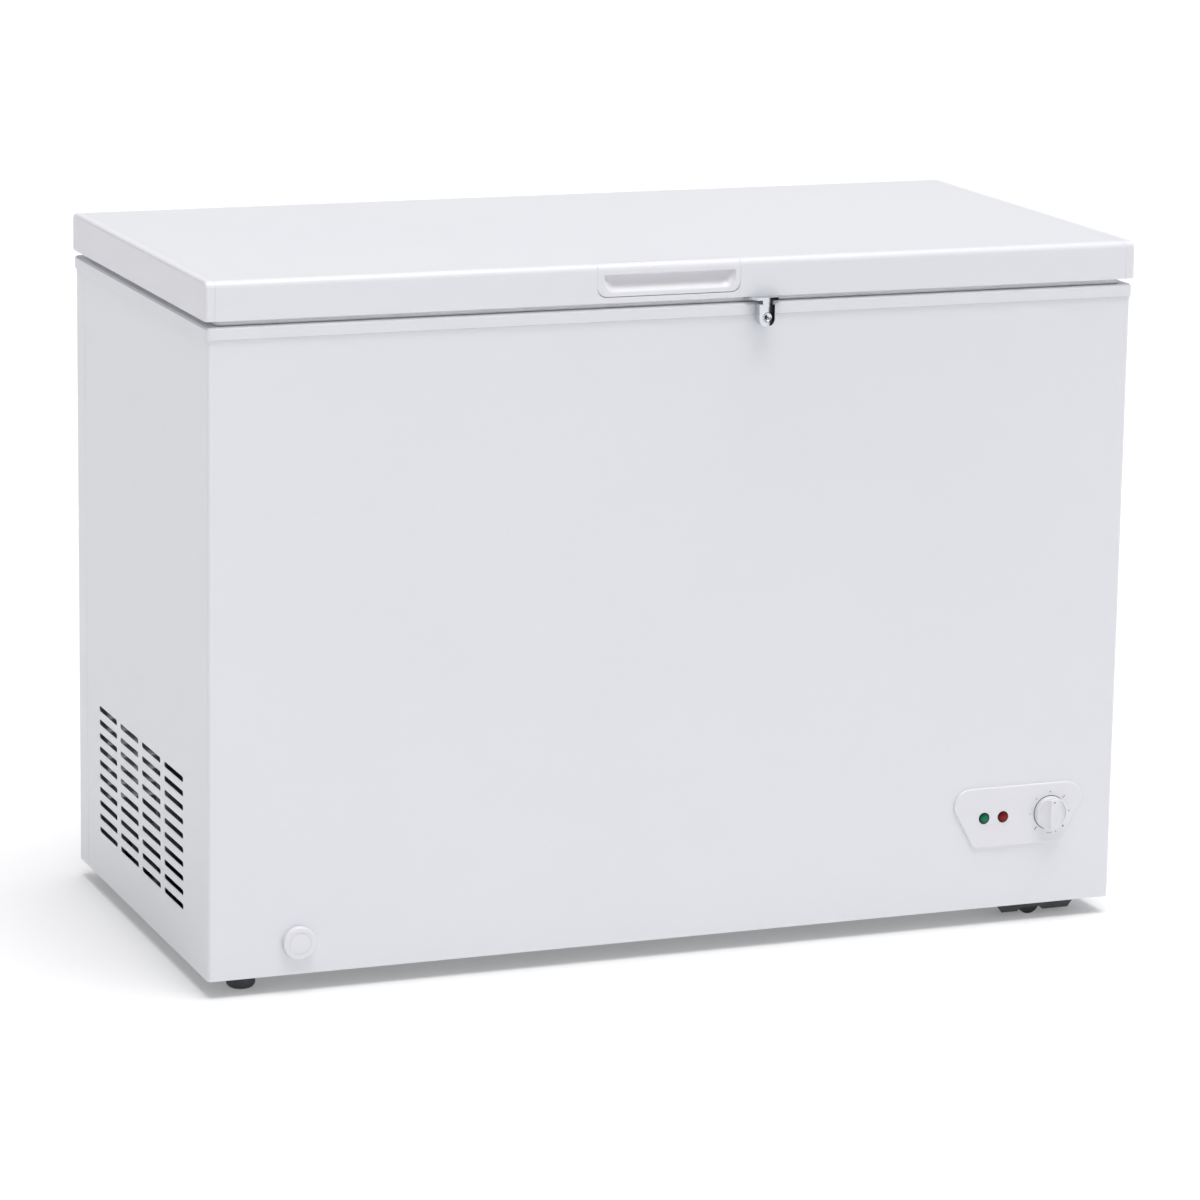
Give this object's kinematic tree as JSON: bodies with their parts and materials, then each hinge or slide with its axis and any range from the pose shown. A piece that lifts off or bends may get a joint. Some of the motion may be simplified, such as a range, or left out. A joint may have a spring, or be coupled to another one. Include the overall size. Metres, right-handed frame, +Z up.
{
  "type": "chest freezer",
  "caption": "White chest freezer with a lift-up hinged lid, recessed lid handle, lid lock, front control panel, side vent grille and a hanging basket inside.",
  "frame": {"origin": "on the floor, under the middle of the object's box", "axes": "+X to the user's right as they face the freezer, the front faces -Y, +Z up"},
  "size_m": [1.13, 0.576, 0.815],
  "materials": {
    "white_sheet": "satin",
    "galvanised_sheet": "satin",
    "embossed_aluminium": "satin",
    "polyurethane_foam": "matte",
    "white_plastic": "satin",
    "copper_tube": "satin",
    "aluminium_tube": "satin",
    "black_paint": "satin",
    "black_plastic": "matte",
    "black_rubber": "matte",
    "grey_gasket": "matte",
    "zinc_steel": "satin",
    "dark_bracket": "satin",
    "grey_hose": "matte",
    "green_lens": "gloss",
    "red_lens": "gloss",
    "plated_lock": "polished",
    "spring_steel": "satin",
    "dark_foot": "matte",
    "coated_wire": "satin"
  },
  "bodies": {
    "cabinet": {"outer_shell": "white_sheet", "back_panel": "white_sheet", "base_pan": "galvanised_sheet", "machine_base_plate": "galvanised_sheet", "machine_compartment_wall": "galvanised_sheet", "machine_rear_cover": "white_sheet", "inner_liner": "embossed_aluminium", "body_foam": "polyurethane_foam", "top_rim": "white_plastic", "evaporator_coil": "aluminium_tube", "condenser_coil": "copper_tube", "compressor": "black_paint", "terminal_cover": "black_plastic", "compressor_grommets": "black_rubber", "compressor_bolts": "zinc_steel", "suction_tube": "copper_tube", "discharge_tube": "copper_tube", "filter_drier": "copper_tube", "capillary_tube": "copper_tube", "cord_gland": "black_plastic", "drain_hose": "grey_hose", "drain_sump": "white_plastic", "drain_outlet": "white_plastic", "control_panel": "white_plastic", "control_box": "white_plastic", "green_lamp": "green_lens", "red_lamp": "red_lens", "thermostat_body": "black_plastic", "sensor_tube": "copper_tube", "wiring_loom": "black_plastic", "hinge_bases": "zinc_steel", "hinge_pins": "zinc_steel", "hinge_spring_left": "spring_steel", "hinge_spring_right": "spring_steel", "rear_screws": "zinc_steel", "roller_brackets": "dark_bracket", "roller_axles": "zinc_steel", "wall_spacers": "black_plastic"},
    "lid": {"lid_skin": "white_sheet", "lid_end_cap_left": "white_plastic", "lid_end_cap_right": "white_plastic", "lid_liner": "white_plastic", "lid_foam": "polyurethane_foam", "lid_gasket": "grey_gasket", "lid_screws": "zinc_steel", "handle_bezel": "white_plastic", "lock_housing": "plated_lock", "hinge_arms": "zinc_steel"},
    "lock": {"lock_barrel": "plated_lock"},
    "temperature_knob": {"thermostat_knob": "white_plastic", "thermostat_shaft": "zinc_steel"},
    "drain_front_cap": {"drain_cap": "white_plastic"},
    "drain_floor_bung": {"drain_bung": "black_rubber"},
    "plunger_left": {"hinge_plunger_left": "white_plastic"},
    "plunger_right": {"hinge_plunger_right": "white_plastic"},
    "foot_front": {"levelling_foot_front": "dark_foot"},
    "foot_rear": {"levelling_foot_rear": "dark_foot"},
    "front_roller": {"roller_front": "black_plastic"},
    "rear_roller": {"roller_rear": "black_plastic"},
    "basket": {"wire_basket": "coated_wire"}
  },
  "joints": [
    {"name": "lid_hinge", "type": "hinge", "parent": "cabinet", "child": "lid", "pos_m": [0, 0.282, 0.764], "axis": [-1, 0, 0], "range_deg": [0, 75]},
    {"name": "lock_push", "type": "slide", "parent": "lid", "child": "lock", "axis": [0, 1, 0], "range_m": [0, 0.007]},
    {"name": "thermostat_turn", "type": "hinge", "parent": "cabinet", "child": "temperature_knob", "pos_m": [0.4792, -0.28, 0.1327], "axis": [0, -1, 0], "range_deg": [-135, 135]},
    {"name": "drain_cap_pull", "type": "slide", "parent": "cabinet", "child": "drain_front_cap", "axis": [0, -1, 0], "range_m": [0, 0.03]},
    {"name": "drain_bung_lift", "type": "slide", "parent": "cabinet", "child": "drain_floor_bung", "axis": [0, 0, 1], "range_m": [0, 0.03]},
    {"name": "counterbalance_left", "type": "slide", "parent": "cabinet", "child": "plunger_left", "axis": [0, 0, 1], "range_m": [0, 0.0045], "deforming": ["hinge_spring_left"]},
    {"name": "counterbalance_right", "type": "slide", "parent": "cabinet", "child": "plunger_right", "axis": [0, 0, 1], "range_m": [0, 0.0045], "deforming": ["hinge_spring_right"]},
    {"name": "foot_front_turn", "type": "hinge", "parent": "cabinet", "child": "foot_front", "pos_m": [-0.512, -0.232, 0.02], "axis": [0, 0, 1], "continuous": true},
    {"name": "foot_rear_turn", "type": "hinge", "parent": "cabinet", "child": "foot_rear", "pos_m": [-0.512, 0.232, 0.02], "axis": [0, 0, 1], "continuous": true},
    {"name": "roller_front_spin", "type": "hinge", "parent": "cabinet", "child": "front_roller", "pos_m": [0.471, -0.233, 0.014], "axis": [0, 1, 0], "continuous": true},
    {"name": "roller_rear_spin", "type": "hinge", "parent": "cabinet", "child": "rear_roller", "pos_m": [0.471, 0.233, 0.014], "axis": [0, 1, 0], "continuous": true},
    {"name": "basket_slide", "type": "slide", "parent": "cabinet", "child": "basket", "axis": [1, 0, 0], "range_m": [0, 0.735]}
  ],
  "couplings": [
    {"joint": "counterbalance_left", "follows": "lid_hinge", "m_per_rad": 0.003209},
    {"joint": "counterbalance_right", "follows": "lid_hinge", "m_per_rad": 0.003209}
  ]
}
